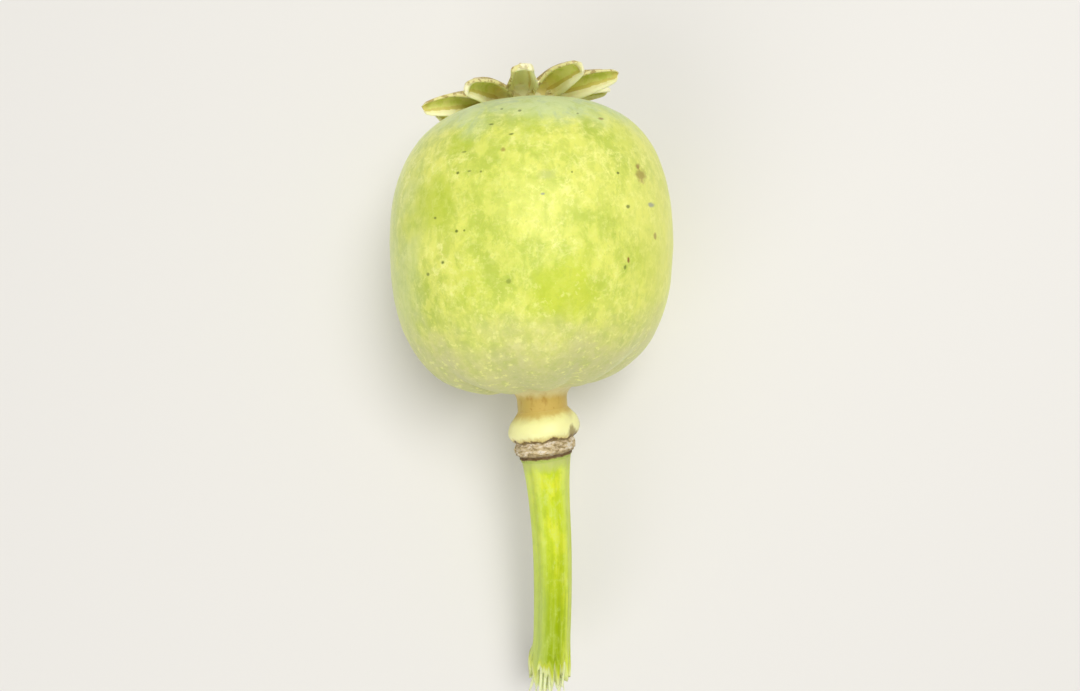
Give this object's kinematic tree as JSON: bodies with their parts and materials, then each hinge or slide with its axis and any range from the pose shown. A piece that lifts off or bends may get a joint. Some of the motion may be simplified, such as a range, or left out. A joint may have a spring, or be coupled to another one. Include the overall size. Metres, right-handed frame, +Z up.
{
  "type": "poppy seed head",
  "caption": "Round green poppy seed pod lying on its side, with a lobed crown, a swollen cream collar below its neck and a short ribbed stem torn at the end.",
  "frame": {"origin": "centre of the small flat spot under the pod, which lies on the surface", "axes": "+Y from the stem end towards the crown, +Z up from the surface the head lies on, +X to the right seen from above"},
  "size_m": [0.0418, 0.0977, 0.0413],
  "materials": {
    "waxy_green_pod": "living plant skin with a thin waxy bloom, satin",
    "olive_crown": "living plant tissue, olive hollows with pale raised rims, matte",
    "cream_receptacle": "smooth living plant skin over a rough healed scar ring, satin",
    "green_stem": "ribbed living plant skin, satin"
  },
  "bodies": {
    "root": {"capsule": "waxy_green_pod", "crown": "olive_crown", "receptacle": "cream_receptacle", "stem": "green_stem"}
  },
  "joints": []
}
